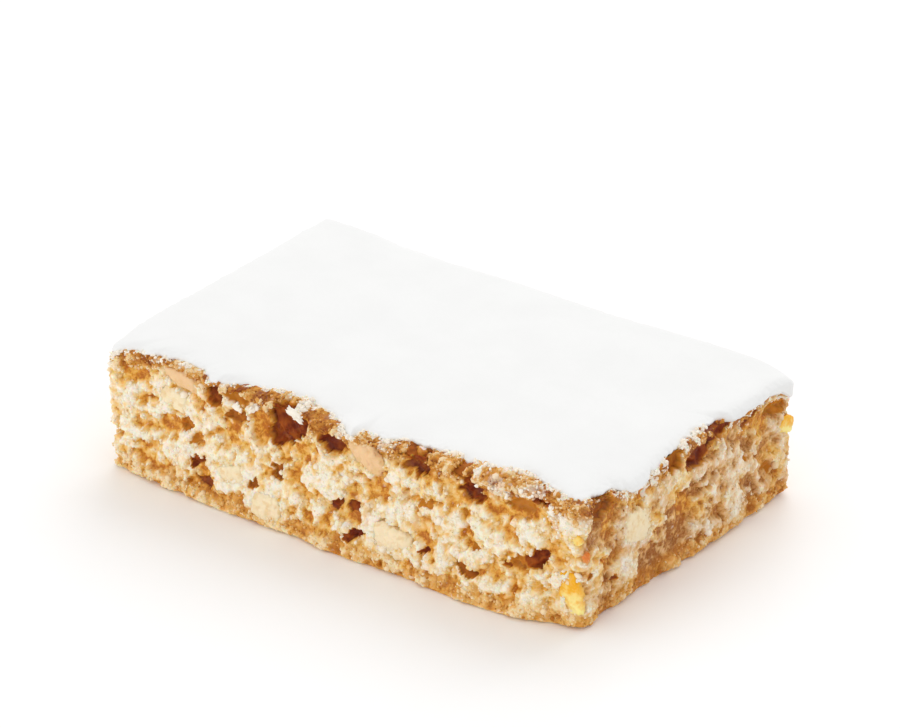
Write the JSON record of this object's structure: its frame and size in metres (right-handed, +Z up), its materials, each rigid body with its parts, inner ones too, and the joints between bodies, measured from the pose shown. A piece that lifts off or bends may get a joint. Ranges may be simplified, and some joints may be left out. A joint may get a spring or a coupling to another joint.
{
  "type": "leckerli biscuit",
  "caption": "Small rectangular slab of baked honey dough with chopped almonds and candied peel in its crumbly cut sides, covered on top by a thin skin of white sugar icing.",
  "frame": {"origin": "centre of the bounding box in plan, on the flat base the biscuit lies on", "axes": "+X along the long cut sides, +Y from the front long side to the back one, +Z up through the icing"},
  "size_m": [0.0611, 0.0414, 0.0154],
  "materials": {
    "dough": "crumbly baked honey dough, matte",
    "icing": "dried white sugar icing, matte",
    "almond": "toasted chopped almond, satin",
    "kernel": "blanched chopped nut, satin",
    "lemon_peel": "candied lemon peel, moist sheen",
    "orange_peel": "candied orange peel, moist sheen"
  },
  "bodies": {
    "root": {"almond_1": "almond", "almond_2": "almond", "almond_3": "almond", "almond_4": "almond", "dough": "dough", "icing": "icing", "kernel_1": "kernel", "kernel_10": "kernel", "kernel_2": "kernel", "kernel_3": "kernel", "kernel_4": "kernel", "kernel_5": "kernel", "kernel_6": "kernel", "kernel_7": "kernel", "kernel_8": "kernel", "kernel_9": "kernel", "lemon_peel_1": "lemon_peel", "lemon_peel_2": "lemon_peel", "lemon_peel_3": "lemon_peel", "lemon_peel_4": "lemon_peel", "orange_peel_1": "orange_peel"}
  },
  "joints": []
}
